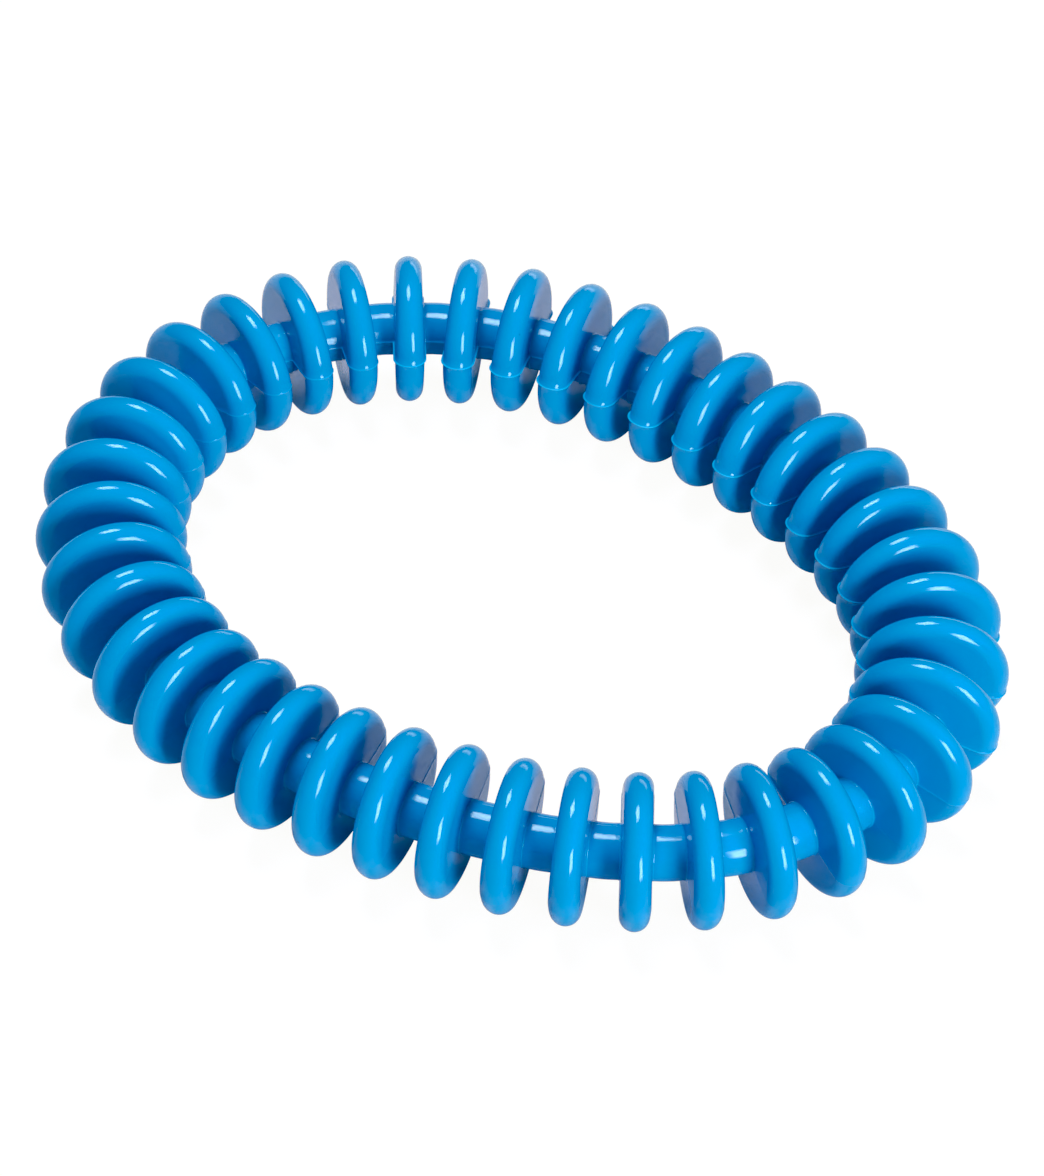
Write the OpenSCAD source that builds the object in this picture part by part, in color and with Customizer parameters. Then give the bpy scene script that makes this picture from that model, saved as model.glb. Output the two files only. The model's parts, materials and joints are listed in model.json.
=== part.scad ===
// Flexible throwing ring: a round rubber core that carries forty round-edged discs.
//
// The ring lies flat: its core runs in a level plane, and the discs stand on their rims.
// Origin: middle of the outline, at the height of the lowest rims. +X is the long axis and
// points at the sharper end of the oval, +Y is the short axis, +Z is up.
// Discs and core sections are numbered anticlockwise from the sharper end, seen from above.
// Two discs share one core section, and a round knuckle joins each section to the next.

/* [Ring] */
// Length of the core's centreline, once round the ring
ring_length = 440; // [400:5:480]
// How far the ring is from a circle: 0 is round
oval = 0.23; // [0:0.01:0.3]
// How much sharper one end of the oval is than the other
egg = 0.05; // [0:0.01:0.06]

/* [Discs] */
// Number of discs
disc_count = 40; // [32:4:40]
// Outside diameter of a disc
disc_d = 28; // [24:0.5:30]
// Thickness of a disc, which is also the diameter of its rounded rim
disc_t = 5.7; // [4:0.1:6]
// Radius of the fillet where a disc meets the core
root_fillet = 0.3; // [0.2:0.1:0.6]

/* [Core] */
// Diameter of the core between the discs
core_d = 10; // [8:0.5:12]
// Straight core on each side of a disc, before the core starts to bend
straight_core = 1; // [0.7:0.1:1.2]
// Running clearance in a knuckle
knuckle_gap = 0.1; // [0.05:0.01:0.15]

/* [Hidden] */
$fn = 96;
rubber_blue = [0.0, 0.47, 0.8];
disc_r = disc_d / 2;
core_r = core_d / 2;
pitch = ring_length / disc_count;
section_count = disc_count / 2;

// A straight seat of this half length runs through each disc.
// The core between two seats is a hair thinner, and reaches a little way into both.
seat = disc_t / 2 + straight_core;
bridge_r = 0.98 * core_r;
bridge_lap = 0.6;
half_gap = (pitch - disc_t) / 2;

// The knuckle, as shares of half the gap between two discs
knuckle_r = min(0.75 * half_gap, 0.6 * core_r);
tongue_face = 0.87 * half_gap;
fork_face = 0.42 * half_gap;
tongue_t = 0.9 * half_gap;
tongue_h = 1.3 * core_r;
waist_r = 0.9 * core_r;
knuckle_h = 1.4 * core_r;

// A section's straight seat starts this far from the joint, and the waist reaches into it
seat_start = half_gap - straight_core;
waist_end = seat_start + 0.5;

// The closed loop is a tree of joints, so one joint is left open, with plain ends.
// It is near the flatter side, where the core hardly bends.
open_joint = floor(section_count / 10);
open_gap = 1.2;

// The core's heading turns through a circle, plus waves that make the oval and the egg
function bearing(t, close) =
    t + (close * sin(t) + oval * sin(2 * t) + egg * sin(3 * t)) * 180 / PI;
function angle_of(k) = 360 * k / disc_count;
function total(v) = v * [for (x = v) 1];

// A first wave, found in three steps, brings the last disc back to the first
function miss(close) = total([
    for (k = [0 : disc_count - 1])
        cos((bearing(angle_of(k), close) + bearing(angle_of(k + 1), close)) / 2)
]);
function closer(close) = close + 2 * miss(close) / disc_count;
closing = closer(closer(closer(-oval * egg / 2)));

function heading(k) = bearing(angle_of(k), closing);
function heading_after(k) = (heading(k) + heading(k + 1)) / 2;
function turn_after(k) = heading(k + 1) - heading(k);
function along(a) = [-sin(a), cos(a)];
function inward(a) = [-cos(a), -sin(a)];

// Disc centres, one pitch apart, then moved so that the outline is centred on the origin
walked = [
    for (k = 0, p = [0, 0]; k < disc_count; p = p + pitch * along(heading_after(k)), k = k + 1) p
];
middle_x = (walked[0].x + walked[disc_count / 2].x) / 2;
function centre(k) = walked[k % disc_count] - [middle_x, 0];

// Between two seats the centreline is one arc, tangent to both
function arc_r(k) =
    (pitch / 2 / cos(turn_after(k) / 2) - seat) / tan(turn_after(k) / 2);
function arc_centre(k) =
    centre(k) + seat * along(heading(k)) + arc_r(k) * inward(heading(k));
function joint_centre(k) = arc_centre(k) - arc_r(k) * inward(heading_after(k));

function two_digits(n) = str(n < 10 ? "0" : "", n);
function disc_name(k) = str("disc_", two_digits(k + 1));
function core_name(i) = str("core_", two_digits(i + 1));

// Places a piece that is drawn with the core along +X at a point and heading of the ring
module on_ring(point, direction) {
    translate([point.x, point.y, disc_r])
        rotate([0, 0, direction + 90])
            children();
}

// A round bar along +X, from one place to another
module bar(r, from, to) {
    translate([from, 0, 0])
        rotate([0, 90, 0])
            cylinder(r = r, h = to - from);
}

// Half section of a disc: flat sides, a full round rim and a fillet on each side at the core
module disc_section() {
    rim_r = disc_t / 2;
    fillet_end = rim_r + root_fillet;
    translate([core_r, -rim_r])
        square([disc_r - rim_r - core_r, disc_t]);
    translate([disc_r - rim_r, 0])
        circle(r = rim_r);
    difference() {
        translate([core_r, -fillet_end])
            square([root_fillet, 2 * fillet_end]);
        for (side = [-1, 1])
            translate([core_r + root_fillet, side * fillet_end])
                circle(r = root_fillet);
    }
}

module disc(k) {
    color(rubber_blue)
        on_ring(centre(k), heading(k))
            rotate([0, 90, 0])
                rotate_extrude()
                    disc_section();
}

// Seat under one disc, long enough to reach the joint on the side that has one
module seat_bar(k, back, front) {
    on_ring(centre(k), heading(k))
        bar(core_r, -back, front);
}

// Stretch of core between the two discs of one section
module bridge(k) {
    middle = arc_centre(k);
    lap = bridge_lap / arc_r(k) * 180 / PI;
    translate([middle.x, middle.y, disc_r])
        rotate([0, 0, heading(k) - lap])
            rotate_extrude(angle = turn_after(k) + 2 * lap)
                translate([arc_r(k), 0])
                    circle(r = bridge_r);
}

// Everything on the far side of a plane across the core, at a joint
module beyond(k, place) {
    on_ring(joint_centre(k), heading_after(k))
        translate([place, -2 * core_r, -2 * core_r])
            cube(4 * core_r);
}

// Everything on the near side of such a plane
module before(k, place) {
    on_ring(joint_centre(k), heading_after(k))
        translate([place - 4 * core_r, -2 * core_r, -2 * core_r])
            cube(4 * core_r);
}

// Tongue at the end of a section: a flat web that ends in a round knuckle
module tongue(k) {
    on_ring(joint_centre(k), heading_after(k)) {
        translate([-pitch / 3, -tongue_t / 2, -tongue_h / 2])
            cube([pitch / 3, tongue_t, tongue_h]);
        cylinder(r = knuckle_r, h = knuckle_h, center = true);
    }
}

// Fork at the start of a section: a waist with a round pocket that holds the knuckle
module fork(k) {
    on_ring(joint_centre(k), heading_after(k))
        bar(waist_r, -fork_face, waist_end);
}

module pocket(k) {
    on_ring(joint_centre(k), heading_after(k))
        cylinder(r = knuckle_r + knuckle_gap, h = knuckle_h + 2 * knuckle_gap, center = true);
}

module core(i) {
    first = 2 * i;
    last = first + 1;
    joint_before = (first + disc_count - 1) % disc_count;
    starts_open = i == (open_joint + 1) % section_count;
    ends_open = i == open_joint;
    color(rubber_blue)
        difference() {
            union() {
                difference() {
                    union() {
                        seat_bar(first, pitch / 2, seat);
                        bridge(first);
                        seat_bar(last, seat, pitch / 2);
                    }
                    before(joint_before, starts_open ? open_gap / 2 : seat_start);
                    beyond(last, ends_open ? -open_gap / 2 : -tongue_face);
                }
                if (!starts_open) fork(joint_before);
                if (!ends_open) tongue(last);
            }
            if (!starts_open) pocket(joint_before);
        }
}

for (k = [0 : disc_count - 1])
    disc(k);
for (i = [0 : section_count - 1])
    core(i);
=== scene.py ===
# %% [markdown]
# # A soft throwing ring with forty discs
#
# The real thing is one moulding of soft, glossy rubber. A round core runs in a closed loop, and forty
# discs with round rims stand on it. Two halves of a steel mould meet in the plane of the ring, so every
# disc and the core carry a thin line of flash there.
#
# The frame from CAD says where each disc stands and which pieces bend against each other. This file
# keeps those places and makes the surfaces: the rims, the flash, the rubber and the light on it.

# %% Load the frame
import json
import math

import bpy
import numpy as np
from mathutils import Matrix, Vector

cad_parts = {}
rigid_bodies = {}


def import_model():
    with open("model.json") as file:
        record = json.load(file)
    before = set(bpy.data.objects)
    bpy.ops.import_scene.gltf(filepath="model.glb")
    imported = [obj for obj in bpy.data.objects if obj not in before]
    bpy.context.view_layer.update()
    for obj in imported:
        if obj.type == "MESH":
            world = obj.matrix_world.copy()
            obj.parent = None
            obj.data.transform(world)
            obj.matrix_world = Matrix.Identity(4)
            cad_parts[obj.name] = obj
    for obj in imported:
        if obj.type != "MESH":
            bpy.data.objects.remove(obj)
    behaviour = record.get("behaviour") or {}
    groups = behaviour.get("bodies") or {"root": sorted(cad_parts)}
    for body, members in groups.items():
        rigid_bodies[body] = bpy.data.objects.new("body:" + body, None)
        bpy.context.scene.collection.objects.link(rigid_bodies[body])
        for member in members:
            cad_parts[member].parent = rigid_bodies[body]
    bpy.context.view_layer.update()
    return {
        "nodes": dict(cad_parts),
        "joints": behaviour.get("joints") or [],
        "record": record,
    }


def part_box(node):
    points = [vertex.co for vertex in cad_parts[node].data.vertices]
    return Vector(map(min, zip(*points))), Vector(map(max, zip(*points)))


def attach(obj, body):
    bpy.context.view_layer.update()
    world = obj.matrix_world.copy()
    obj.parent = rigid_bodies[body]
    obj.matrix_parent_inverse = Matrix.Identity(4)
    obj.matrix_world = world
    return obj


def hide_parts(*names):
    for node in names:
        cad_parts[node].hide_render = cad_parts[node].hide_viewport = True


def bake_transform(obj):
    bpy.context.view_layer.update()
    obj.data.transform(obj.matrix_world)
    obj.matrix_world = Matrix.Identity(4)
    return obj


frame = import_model()
MM = 0.001

# %% [markdown]
# ## Where the discs stand
#
# A disc's own mesh tells all that is needed. Its middle is the middle of its box. Its axis is the
# direction in which its points spread least, because a disc is thin. The axes are then turned so that
# they all run anticlockwise round the ring, seen from above.

# %% Read each disc's middle and axis
UP = Vector((0, 0, 1))
disc_names = sorted(name for name in frame["nodes"] if name.startswith("disc_"))
core_names = sorted(name for name in frame["nodes"] if name.startswith("core_"))
DISCS = len(disc_names)
body_of_node = {n: body for body, nodes in frame["record"]["behaviour"]["bodies"].items() for n in nodes}


def middle_of(node):
    low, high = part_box(node)
    return (low + high) / 2


def thin_axis(node):
    points = np.array([v.co for v in frame["nodes"][node].data.vertices])
    spread = np.cov((points - points.mean(0)).T)
    x, y, z = np.linalg.eigh(spread)[1][:, 0]
    return Vector((x, y, 0)).normalized()


middles = [middle_of(name) for name in disc_names]
axes = []
for k, name in enumerate(disc_names):
    axis = thin_axis(name)
    onward = middles[(k + 1) % DISCS] - middles[k - 1]
    axes.append(axis if axis.dot(onward) > 0 else -axis)
print("first disc stands at", [round(v / MM, 1) for v in middles[0]], "mm")

# %% [markdown]
# ## Sizes of the moulding
#
# The disc's radius is half its height. The rest are the sizes of the mould, in millimetres. The mould
# halves need draft to let go of the rubber, so a disc is a little thinner at its top and bottom than at
# the parting plane. The ring has also twisted a little about its own core since it cooled, so that the
# parting plane now leans: its inner edge sits higher than its outer edge.

# %% Sizes
low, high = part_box(disc_names[0])
DISC_R = (high.z - low.z) / 2
DISC_T = 5.7 * MM
DRAFT_LOSS = 0.10  # share of its thickness that a disc loses from the parting plane to its top
CORE_R = 5.0 * MM
FILLET = 0.3 * MM
STRAIGHT_CORE = 1.0 * MM  # on each side of a disc
PARTING_LEAN = math.radians(12)
FLASH_W = 0.22 * MM  # half the width of the fin at its foot
print("disc radius", round(DISC_R / MM, 2), "mm")

# %% [markdown]
# ## Flash
#
# Where the mould halves meet, a little rubber squeezes out and sets as a thin fin. The mould closed less
# well on one side, so the fin is highest round one disc and fades away from it, and it is a little
# uneven from disc to disc. A bump in the material could draw it, but this is real geometry, because a
# fin breaks the outline and catches the light.
#
# The lines of the mesh are set for it. A few lines run along the parting plane, close together, and the
# rest are spread round the disc. Each line is given as an angle that depends on the distance from the
# core's axis, so that the fin has the same width at the core and at the rim.

# %% Lines round the core, with a fin on the parting plane
FIN_STEPS = np.linspace(-1, 1, 7)
SWEEP = np.radians(np.linspace(7, 173, 35))


def lines_round_core():
    """A list of (angle as a function of radius, share of the fin's height, True on the inner side)."""
    lines = []
    for half in (0, 1):
        turn = half * math.pi
        for step in FIN_STEPS:
            fin = math.cos(step * math.pi / 2) ** 2
            lines.append((lambda r, s=step, t=turn: t + np.arcsin(s * FLASH_W / r), fin, half == 0))
        for angle in SWEEP:
            lines.append((lambda r, a=angle, t=turn: t + a + 0 * r, 0.0, half == 0))
    return lines


LINES = lines_round_core()
WORST_DISC = 8  # counted from 0, anticlockwise from the sharper end
TALL_FIN = 0.45 * MM  # a fin this high counts as wholly thin rubber


def fin_heights(k):
    """Height of the fin on the inner and the outer side of disc k. It fades away from the worst disc."""
    steps_away = abs((k - WORST_DISC + DISCS / 2) % DISCS - DISCS / 2)
    # Full height up to six discs away, and a bit under half of it from thirteen on.
    # The outer side fades much faster
    share = float(np.interp(steps_away, (6, 9, 13), (1.0, 0.6, 0.45)))
    uneven = 0.5 + 0.5 * math.sin(2.7 * k)
    inner = share * (0.23 + 0.06 * uneven) * MM
    outer = share**4 * (0.16 + 0.26 * uneven) * MM
    return inner, outer


print(len(LINES), "lines round the core")

# %% [markdown]
# ## A helper that skins a grid of points
#
# Discs and core are both a grid: lines round the core one way, points of a section the other way. One
# helper turns such a grid into a smooth mesh. Where the grid isn't a closed loop, its two ends get a cap.
# It also stores how thin the rubber is at each point, so that the material can paint the fins a paler blue,
# for the light that comes through them.
#
# The second helper gives the two directions that a section is drawn in, already turned by the lean of
# the parting plane.

# %% Skin a grid of points
def skin(name, grid, fin_height, closed):
    """The grid is rows x columns x 3. Columns always close. Rows close for a disc, and get caps for a bar."""
    rows, columns = grid.shape[:2]
    index = np.arange(rows * columns).reshape(rows, columns)
    steps = rows if closed else rows - 1
    faces = []
    for i in range(steps):
        for j in range(columns):
            a, b = index[i, j], index[i, (j + 1) % columns]
            c, d = index[(i + 1) % rows, (j + 1) % columns], index[(i + 1) % rows, j]
            faces.append((a, b, c, d))
    if not closed:
        faces.append(tuple(index[0, ::-1]))
        faces.append(tuple(index[-1]))
    mesh = bpy.data.meshes.new(name)
    mesh.from_pydata(grid.reshape(-1, 3).tolist(), [], [tuple(int(v) for v in f) for f in faces])
    mesh.polygons.foreach_set("use_smooth", [True] * len(mesh.polygons))
    thin = mesh.attributes.new("thin_rubber", "FLOAT", "POINT")
    thin.data.foreach_set("value", (np.asarray(fin_height) / TALL_FIN).astype(np.float32).ravel())
    mesh.update()
    piece = bpy.data.objects.new(name, mesh)
    bpy.context.collection.objects.link(piece)
    return piece


def parting_frame(axis):
    """Directions that lie in and across the leaning parting plane, for a stretch of core along axis."""
    inward = UP.cross(axis)
    lean_in = math.cos(PARTING_LEAN) * inward + math.sin(PARTING_LEAN) * UP
    lean_up = math.cos(PARTING_LEAN) * UP - math.sin(PARTING_LEAN) * inward
    return np.array(lean_in), np.array(lean_up)


# %% [markdown]
# ## One disc
#
# A disc could be a lathe profile with a screw modifier, but draft and flash change the section from
# line to line. So each line gets its own section: up the fillet from the core, out along the flat side,
# round the full rim and back down the other side.

# %% Section of a disc along one line
TUCK = 0.04 * MM  # how far the foot of a disc reaches into the core


def section(angle):
    """Points (radius, place along the core) of the disc's section, and the outward normal at each."""
    lean = abs(math.sin(angle))
    rim_r = DISC_T / 2 * (1 - DRAFT_LOSS * lean)
    root_r = DISC_T / 2 * (1 - DRAFT_LOSS * lean * CORE_R / DISC_R)
    points, normals = [(CORE_R - TUCK, root_r + 2 * FILLET)], [(1, 0)]
    for a in np.linspace(5, 90, 6):
        s, c = math.sin(math.radians(a)), math.cos(math.radians(a))
        points.append((CORE_R + FILLET * (1 - c), root_r + FILLET * (1 - s)))
        normals.append((c, s))
    for share in (0.04, 0.15, 0.35, 0.6, 0.85, 0.96):
        r = CORE_R + FILLET + share * (DISC_R - rim_r - CORE_R - FILLET)
        points.append((r, root_r + share * (rim_r - root_r)))
        normals.append((0, 1))
    for a in np.linspace(90, 0, 12):
        s, c = math.sin(math.radians(a)), math.cos(math.radians(a))
        points.append((DISC_R - rim_r + rim_r * c, rim_r * s))
        normals.append((c, s))
    far = [(r, -x) for r, x in points[-2::-1]]
    far_normals = [(n, -m) for n, m in normals[-2::-1]]
    return np.array(points + far), np.array(normals + far_normals)


# %% Make a disc
def make_disc(name, middle, axis, heights):
    lean_in, lean_up = parting_frame(axis)
    along = np.array(axis)
    # A high fin is higher still on the flat sides, and a low one is lower there
    on_sides = float(np.interp(heights[0] / MM, (0.12, 0.24), (-0.3, 0.6)))
    grid, heights_on_grid = [], []
    for angle_at, fin, inner_side in LINES:
        points, normals = section(float(angle_at(DISC_R)))
        at_rim = heights[0] if inner_side else heights[1]
        height = fin * at_rim * (0.85 + on_sides * np.abs(normals[:, 1]))
        points = points + height[:, None] * normals
        r, x = points[:, 0], points[:, 1]
        a = angle_at(np.maximum(r, CORE_R * 0.9))
        grid.append(
            np.array(middle)
            + x[:, None] * along
            + (r * np.cos(a))[:, None] * lean_in
            + (r * np.sin(a))[:, None] * lean_up
        )
        heights_on_grid.append(height)
    grid = np.transpose(np.array(grid), (1, 0, 2))
    return skin(name, grid, np.transpose(np.array(heights_on_grid)), closed=True)


discs = []
for k, name in enumerate(disc_names):
    disc = make_disc("moulded_" + name, middles[k], axes[k], fin_heights(k))
    discs.append(disc)
print("discs", len(discs), "with", len(discs[0].data.vertices), "points each")

# %% [markdown]
# ## The core
#
# Between two discs the core is a plain round bar on a gentle bend. A bevelled curve could draw it in one
# go, but the ring has to bend when it is squeezed, and the core carries a fin too. So it is made in
# stretches, each from inside one disc to inside the next. Their ends are out of sight, and stop a
# little short of each other, so that they never touch when the ring bends.
#
# A stretch is straight where a disc and its fillets sit on it, so that they fit it all round. Between
# them it bends on a smooth curve that leaves one seat along its axis and meets the next along its own.

# %% Make one stretch of core
SEAT = DISC_T / 2 + STRAIGHT_CORE
BEND_STEPS = 10
HIDDEN_GAP = 0.3 * MM


def core_path(start, end, leave, arrive):
    """Points and directions of the core's centreline from one disc to the next."""
    first, last = start + SEAT * leave, end - SEAT * arrive
    reach = np.linalg.norm(last - first)
    path = [(start + HIDDEN_GAP * leave, leave)]
    for t in np.linspace(0, 1, BEND_STEPS + 1):
        place = (
            (2 * t**3 - 3 * t**2 + 1) * first
            + (t**3 - 2 * t**2 + t) * reach * leave
            + (3 * t**2 - 2 * t**3) * last
            + (t**3 - t**2) * reach * arrive
        )
        path.append((place, (1 - t) * leave + t * arrive))
    return path + [(end - HIDDEN_GAP * arrive, arrive)]


def make_bar(name, k):
    following = (k + 1) % DISCS
    ends = [np.array(v) for v in (middles[k], middles[following], axes[k], axes[following])]
    inner, outer = fin_heights(k)
    grid, heights_on_grid = [], []
    for place, direction in core_path(*ends):
        lean_in, lean_up = parting_frame(Vector(direction).normalized())
        ring, fins = [], []
        for angle_at, fin, inner_side in LINES:
            # On the core the fin is half as high as on the rims
            r = CORE_R + 0.5 * fin * (inner if inner_side else outer)
            a = float(angle_at(r))
            ring.append(place + r * math.cos(a) * lean_in + r * math.sin(a) * lean_up)
            fins.append(r - CORE_R)
        grid.append(ring)
        heights_on_grid.append(fins)
    return skin(name, np.array(grid), np.array(heights_on_grid), closed=False)


bars = [make_bar(f"core_bar_{k + 1:02d}", k) for k in range(DISCS)]
print("core stretches", len(bars))

# %% [markdown]
# ## Soft glossy rubber
#
# The ring is plasticised vinyl rubber, coloured right through and moulded in a polished mould. That
# gives a clear, sharp gloss over a saturated blue, with a little light scattered under the surface. Where
# the rubber is thin, a paler blue is painted on for the light that comes through it. Handling leaves it
# faintly uneven: some patches are a touch duller, and the surface is not quite flat where the thick parts
# shrank. A trimmed fin is dull.
#
# The gloss could be plain white, as on most plastics. Here it is held back and tinted, because the
# colour is so strong that the blue reflects from disc to disc, and a white sheen over a whole face
# would wash it out. The soft boxes are bright enough to show as near-white spots all the same.

# %% Colours and a helper for nodes
def linear(hex_colour):
    """sRGB hex to the linear colour that the shader wants."""
    values = [int(hex_colour[i : i + 2], 16) / 255 for i in (1, 3, 5)]
    return tuple(v / 12.92 if v <= 0.04045 else ((v + 0.055) / 1.055) ** 2.4 for v in values) + (1.0,)


def add_node(tree, kind, settings=None, links=None):
    """Adds one node. settings are properties or input values by name; links give (node, output) by input."""
    node = tree.nodes.new(kind)
    for key, value in (settings or {}).items():
        if isinstance(key, str) and hasattr(node, key):
            setattr(node, key, value)
        else:
            node.inputs[key].default_value = value
    for key, (source, output) in (links or {}).items():
        tree.links.new(source.outputs[output], node.inputs[key])
    return node


# %% Moulded blue rubber
def moulded_rubber():
    material = bpy.data.materials.new("moulded_blue_rubber")
    material.use_nodes = True
    tree = material.node_tree
    tree.nodes.clear()
    where = add_node(tree, "ShaderNodeTexCoord")
    place = {"Vector": (where, "Object")}
    # Pigment: slow drift of the blue over about 25 mm
    drift = add_node(tree, "ShaderNodeTexNoise", {"Scale": 1 / (25 * MM), "Detail": 2.0}, place)
    pigment = add_node(
        tree, "ShaderNodeMix",
        {"data_type": "RGBA", 6: linear("#007fb8"), 7: linear("#0085c0")},
        {"Factor": (drift, "Fac")},
    )
    # Dust moulded in: rare dark specks, 0.6 mm across, in one or two of every hundred 6 mm cells
    cells = add_node(tree, "ShaderNodeTexVoronoi", {"Scale": 1 / (6 * MM)}, place)
    near = add_node(
        tree, "ShaderNodeMapRange",
        {"From Min": 0.03, "From Max": 0.06, "To Min": 0.8, "To Max": 0.0},
        {"Value": (cells, "Distance")},
    )
    rare = add_node(tree, "ShaderNodeMath", {"operation": "GREATER_THAN", 1: 0.9}, {0: (cells, "Color")})
    speck = add_node(
        tree, "ShaderNodeMath",
        {"operation": "MULTIPLY"},
        {0: (near, "Result"), 1: (rare, "Value")},
    )
    dusty = add_node(
        tree, "ShaderNodeMix",
        {"data_type": "RGBA", 7: linear("#023a6e")},
        {"Factor": (speck, "Value"), 6: (pigment, 2)},
    )
    # Flash: painted light. A paler blue is painted where the rubber is thin, for the light that comes through
    # it
    thin = add_node(tree, "ShaderNodeAttribute", {"attribute_name": "thin_rubber"})
    painted_glow = add_node(
        tree, "ShaderNodeMix",
        {"data_type": "RGBA", 7: linear("#2cb4e8")},
        {"Factor": (thin, "Fac"), 6: (dusty, 2)},
    )
    # Gloss: duller patches where it has been handled, about 6 mm across
    handling = add_node(tree, "ShaderNodeTexNoise", {"Scale": 1 / (6 * MM), "Detail": 4.0}, place)
    gloss = add_node(
        tree, "ShaderNodeMapRange",
        {"From Min": 0.35, "From Max": 0.75, "To Min": 0.14, "To Max": 0.17},
        {"Value": (handling, "Fac")},
    )
    # Surface: slow unevenness about 5 mm across, and fine mould grain drawn at 0.5 mm
    sink = add_node(tree, "ShaderNodeTexNoise", {"Scale": 1 / (5 * MM), "Detail": 1.0}, place)
    grain = add_node(tree, "ShaderNodeTexNoise", {"Scale": 1 / (0.5 * MM), "Detail": 2.0}, place)
    slow = add_node(
        tree, "ShaderNodeBump", {"Strength": 0.01, "Distance": 0.25 * MM},
        {"Height": (sink, "Fac")},
    )
    fine = add_node(
        tree, "ShaderNodeBump", {"Strength": 0.003, "Distance": 0.05 * MM},
        {"Height": (grain, "Fac"), "Normal": (slow, "Normal")},
    )
    # A trimmed edge is dull, however low it is
    trimmed = add_node(
        tree, "ShaderNodeMath",
        {"operation": "MULTIPLY", "use_clamp": True, 1: 4.0},
        {0: (thin, "Fac")},
    )
    dull = add_node(
        tree, "ShaderNodeMix",
        {"data_type": "FLOAT", 3: 0.6},
        {"Factor": (trimmed, "Value"), 2: (gloss, "Result")},
    )
    # Vinyl has an IOR of 1.52. Light goes a millimetre into it, blue furthest
    shader = add_node(
        tree, "ShaderNodeBsdfPrincipled",
        {
            "IOR": 1.52,
            "Specular IOR Level": 0.32,
            "Specular Tint": (0.6, 0.85, 1.0, 1.0),
            "Subsurface Weight": 0.10,
            "Subsurface Radius": (0.15, 0.6, 1.0),
            "Subsurface Scale": 1.2 * MM,
        },
        {"Base Color": (painted_glow, 2), "Roughness": (dull, 0), "Normal": (fine, "Normal")},
    )
    add_node(tree, "ShaderNodeOutputMaterial", None, {"Surface": (shader, "BSDF")})
    return material


rubber = moulded_rubber()
for piece in discs + bars:
    piece.data.materials.append(rubber)
for node in frame["nodes"].values():
    node.data.materials.clear()
    node.data.materials.append(rubber)
print("rubber on", len(discs + bars), "pieces")

# %% [markdown]
# ## Fixing the pieces to their bodies
#
# Two neighbouring discs and the core between them belong to one section and move as one. The next
# stretch of core crosses a joint: its shape is baked into world space and it is fixed to neither section.
# One joint in the closed loop was left open in CAD. The core there hardly bends, so that stretch rides
# on one side and its far end stays hidden in the next disc.

# %% Ride on a section, or stay loose across a joint
jointed = {frozenset((j["parent"], j["child"])) for j in frame["joints"]}

for k, disc in enumerate(discs):
    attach(disc, body_of_node[disc_names[k]])
    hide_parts(disc_names[k])

bent = 0
for k, bar in enumerate(bars):
    following = (k + 1) % DISCS
    here = body_of_node[disc_names[k]]
    there = body_of_node[disc_names[following]]
    if frozenset((here, there)) in jointed:
        onward = (middles[following] - middles[k]).normalized()
        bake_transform(bar)
        bent += 1
    else:
        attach(bar, here)
    if here == there:
        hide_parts(core_names[k // 2])
print(bent, "stretches of core bend")

# %% [markdown]
# ## Studio floor
#
# The floor is white paper, lit by the lamps, so the rims that face it get its light and its reflection.
# Lit paper is never quite as white as a page, though. An emitting floor would be, but it would light the
# rims from below far too much. So the shader asks what kind of ray looks at it: a ray from the camera
# sees paper that is almost pure white, with only a trace of the shadow left, and every other ray sees
# the lit paper. It lights nothing by itself, so it is taken out of the sampling of lights.

# %% Floor
REACH = 3.0
floor_mesh = bpy.data.meshes.new("floor")
corners = [(-REACH, -REACH, 0), (REACH, -REACH, 0), (REACH, REACH, 0), (-REACH, REACH, 0)]
floor_mesh.from_pydata(corners, [], [(0, 1, 2, 3)])
floor = bpy.data.objects.new("floor", floor_mesh)
bpy.context.collection.objects.link(floor)
paper = bpy.data.materials.new("white_paper")
paper.use_nodes = True
sheet = paper.node_tree
sheet.nodes.clear()
matt = add_node(sheet, "ShaderNodeBsdfDiffuse", {"Color": linear("#d4d4d4")})
white = add_node(sheet, "ShaderNodeEmission", {"Strength": 1.03})
ray = add_node(sheet, "ShaderNodeLightPath")
seen = add_node(sheet, "ShaderNodeMath", {"operation": "MULTIPLY", 1: 0.93}, {0: (ray, "Is Camera Ray")})
lit = add_node(
    sheet, "ShaderNodeMixShader", None,
    {0: (seen, "Value"), 1: (matt, "BSDF"), 2: (white, "Emission")},
)
add_node(sheet, "ShaderNodeOutputMaterial", None, {"Surface": (lit, "Shader")})
paper.cycles.emission_sampling = "NONE"
floor_mesh.materials.append(paper)
print("floor", 2 * REACH, "m across")

# %% [markdown]
# ## Camera
#
# The ring is seen from a little over 45 degrees above the table, with a long lens from less than a metre,
# so it looks rather flat. A camera could track an empty, but here its place is worked out from two
# angles and a distance, and a small roll is added.

# %% Camera
CAMERA_AZIMUTH = 30.7
CAMERA_ELEVATION = 46.3
CAMERA_ROLL = 1.5
CAMERA_DISTANCE = 0.908
LENS = 151.3
az, el = math.radians(CAMERA_AZIMUTH), math.radians(CAMERA_ELEVATION)
towards_camera = Vector((math.sin(az), -math.cos(az), 0))
rightward = Vector((math.cos(az), math.sin(az), 0))
back = math.cos(el) * towards_camera + math.sin(el) * UP
above = back.cross(rightward)
camera_data = bpy.data.cameras.new("camera")
camera_data.lens = LENS
camera_data.sensor_width = 36
camera = bpy.data.objects.new("camera", camera_data)
bpy.context.collection.objects.link(camera)
aim = Vector((0, 0, DISC_R)) + 0.26 * MM * rightward - 0.75 * MM * above
camera.location = aim + CAMERA_DISTANCE * back
roll = Matrix.Rotation(math.radians(CAMERA_ROLL), 3, "Z")
camera.rotation_euler = (back.to_track_quat("Z", "Y").to_matrix() @ roll).to_euler()
bpy.context.scene.camera = camera
print("camera stands", round(camera.location.z, 2), "m above the floor")

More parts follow.
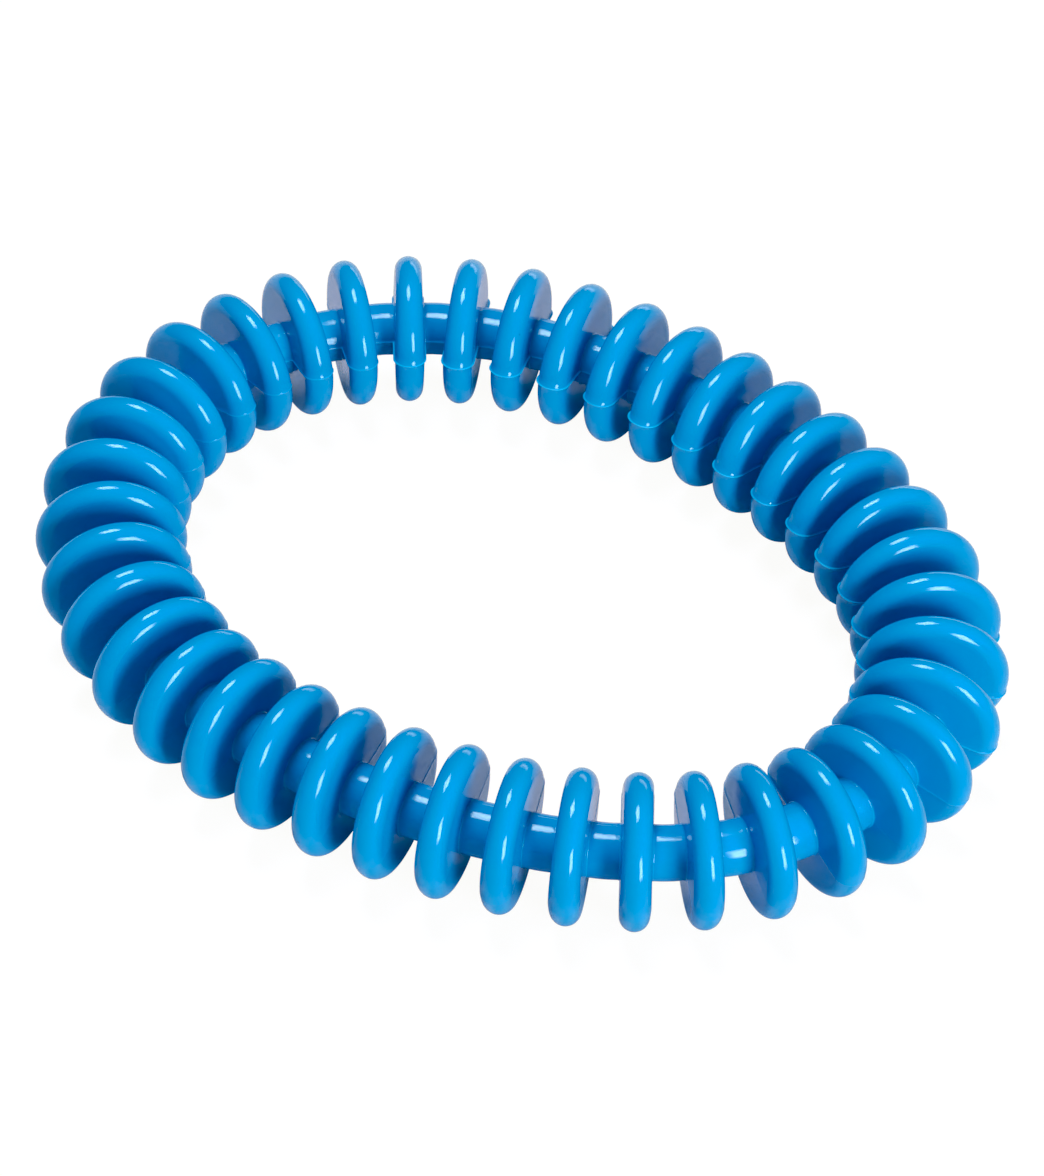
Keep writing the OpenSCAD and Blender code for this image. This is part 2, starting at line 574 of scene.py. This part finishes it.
# %% [markdown]
# ## Lamps, surroundings and the camera's curve
#
# Two soft boxes and a dim, faintly blue room. One box hangs over the ring and a little behind it, and
# gives the bar of light along the core. The other stands low at the right and gives each rim its second
# spot. Their angles decide where the spots sit on the rims, and their sizes how long the spots are. A
# wide, dim strip behind the ring puts a pale glint on top of the nearer rims. The room is even, so
# rays find it without help, and all sampling of lights is left to the three lamps.
#
# Last comes the curve that a camera puts on its picture. The pigment is bluer than a screen can show, so
# red is cut at the bottom. Green and blue get the gentle S-shape of a camera: deeper shadows, and blue
# held back near the top. White stays white.

# %% Lamps and surroundings
def add_lamp(name, sideways, elevation, distance, width, height, watts):
    """A soft box that faces the ring. Sideways is degrees to the right of the camera."""
    a, e = math.radians(sideways), math.radians(elevation)
    flat = math.cos(a) * towards_camera + math.sin(a) * rightward
    way = math.cos(e) * flat + math.sin(e) * UP
    light = bpy.data.lights.new(name, "AREA")
    light.shape = "RECTANGLE"
    light.size = width
    light.size_y = height
    light.energy = watts
    lamp = bpy.data.objects.new(name, light)
    bpy.context.collection.objects.link(lamp)
    lamp.location = Vector((0, 0, DISC_R)) + distance * way
    lamp.rotation_euler = way.to_track_quat("Z", "Y").to_euler()
    lamp.visible_camera = False
    return lamp


add_lamp("overhead_box", 25, 105.7, 1.57, 0.60, 0.60, 25)
add_lamp("side_box", 31, 18.5, 1.5, 0.48, 0.74, 26)
add_lamp("back_strip", 162, 5, 1.5, 0.80, 0.25, 1.7)
world = bpy.data.worlds.new("pale_room")
world.use_nodes = True
world.cycles.sampling_method = "NONE"
world.node_tree.nodes["Background"].inputs["Color"].default_value = linear("#dceeff")
world.node_tree.nodes["Background"].inputs["Strength"].default_value = 0.27
bpy.context.scene.world = world
view = bpy.context.scene.view_settings
view.view_transform = "Standard"
view.look = "None"
view.use_curve_mapping = True
camera_curve = view.curve_mapping
camera_curve.black_level = (0.03, 0, 0)
GREEN, BLUE = 1, 2
for light, shown in ((0.06, 0.055), (0.25, 0.25), (0.4, 0.38)):
    camera_curve.curves[GREEN].points.new(light, shown)
for light, shown in ((0.2, 0.222), (0.4, 0.44), (0.6, 0.61), (0.78, 0.72)):
    camera_curve.curves[BLUE].points.new(light, shown)
camera_curve.update()
